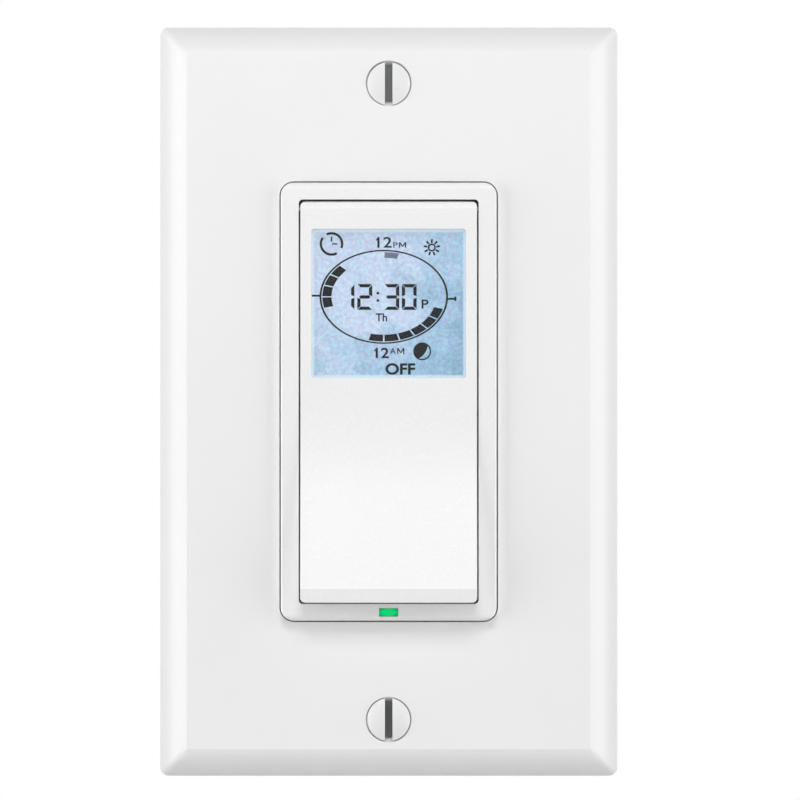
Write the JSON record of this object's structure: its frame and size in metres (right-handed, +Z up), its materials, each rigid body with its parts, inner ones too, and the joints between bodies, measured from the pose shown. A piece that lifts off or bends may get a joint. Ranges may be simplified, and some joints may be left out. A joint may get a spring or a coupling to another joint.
{
  "type": "timer light switch",
  "caption": "Single-gang wall switch with a clock display: a bevelled plate round a framed push pad that is pressed to switch and swings up over setting keys.",
  "frame": {"origin": "midway between the two box screws, on the wall surface that the plate lies against", "axes": "+Z up the wall, +Y into the wall, +X to the right seen from the front; the front faces -Y"},
  "size_m": [0.0698, 0.044, 0.1142],
  "materials": {
    "plate_plastic": "smooth moulded",
    "frame_plastic": "satin moulded",
    "pad_plastic": "satin moulded",
    "deck_plastic": "satin moulded",
    "key_plastic": "satin moulded",
    "painted_screw": "enamelled",
    "steel": "zinc plated",
    "brass": "plain",
    "ground_green": "dyed",
    "clear_plastic": "clear",
    "display": "backlit",
    "indicator": "clear tinted",
    "lamp": "clear",
    "strip_rubber": "matt",
    "board": "lacquered",
    "black_plastic": "moulded",
    "housing_plastic": "moulded",
    "barrier_plastic": "moulded",
    "fibre": "pressed",
    "relay_blue": "moulded",
    "film_yellow": "moulded",
    "sleeve_dark": "shrink sleeve",
    "disc_blue": "dipped",
    "resistor_tan": "lacquered"
  },
  "bodies": {
    "chassis": {"wall_plate": "plate_plastic", "plate_screws": "painted_screw", "front_frame": "frame_plastic", "key_deck": "deck_plastic", "key_switches": "steel", "pad_switch": "steel", "display_glass": "display", "display_bezel": "deck_plastic", "light_guide": "clear_plastic", "backlight_lamps": "lamp", "connector_strips": "strip_rubber", "display_board": "board", "indicator_lamp": "lamp", "indicator_pipe": "indicator", "controller_chip": "black_plastic", "clock_crystal": "steel", "board_header": "black_plastic", "board_socket": "black_plastic", "mounting_strap": "steel", "box_screws": "steel", "screw_retainers": "fibre", "ground_screw": "ground_green", "rear_housing": "housing_plastic", "housing_screws": "steel", "barrier": "barrier_plastic", "main_board": "board", "relay": "relay_blue", "film_capacitor": "film_yellow", "smoothing_capacitor": "sleeve_dark", "backup_capacitor": "sleeve_dark", "surge_disc": "disc_blue", "fuse_resistor": "resistor_tan", "terminal_contacts": "brass", "line_load_screws": "brass", "neutral_screws": "steel"},
    "return_bail": {"return_bail": "steel", "hinge_rod": "steel"},
    "push_pad": {"push_pad": "pad_plastic", "display_window": "clear_plastic"},
    "pad_plunger": {"pad_plunger": "black_plastic"},
    "key_up": {"key_up": "key_plastic", "plunger_up": "black_plastic"},
    "key_down": {"key_down": "key_plastic", "plunger_down": "black_plastic"},
    "key_enter": {"key_enter": "key_plastic", "plunger_enter": "black_plastic"},
    "key_back": {"key_back": "key_plastic", "plunger_back": "black_plastic"}
  },
  "joints": [
    {"name": "pad_press", "type": "hinge", "parent": "chassis", "child": "return_bail", "pos_m": [0, -0.0064, 0.02925], "axis": [1, 0, 0], "range_deg": [0, 0.54], "stiffness_Nm_per_rad": 0.8},
    {"name": "pad_open", "type": "hinge", "parent": "return_bail", "child": "push_pad", "pos_m": [0, -0.0064, 0.02925], "axis": [-1, 0, 0], "range_deg": [0, 95]},
    {"name": "pad_click", "type": "slide", "parent": "chassis", "child": "pad_plunger", "axis": [0, 1, 0], "range_m": [0, 0.0005]},
    {"name": "key_up_press", "type": "slide", "parent": "chassis", "child": "key_up", "axis": [0, 1, 0], "range_m": [0, 0.0004], "stiffness_N_per_m": 40},
    {"name": "key_down_press", "type": "slide", "parent": "chassis", "child": "key_down", "axis": [0, 1, 0], "range_m": [0, 0.0004], "stiffness_N_per_m": 40},
    {"name": "key_enter_press", "type": "slide", "parent": "chassis", "child": "key_enter", "axis": [0, 1, 0], "range_m": [0, 0.0004], "stiffness_N_per_m": 40},
    {"name": "key_back_press", "type": "slide", "parent": "chassis", "child": "key_back", "axis": [0, 1, 0], "range_m": [0, 0.0004], "stiffness_N_per_m": 40}
  ],
  "couplings": [
    {"joint": "pad_click", "follows": "pad_press", "m_per_rad": 0.05275}
  ]
}
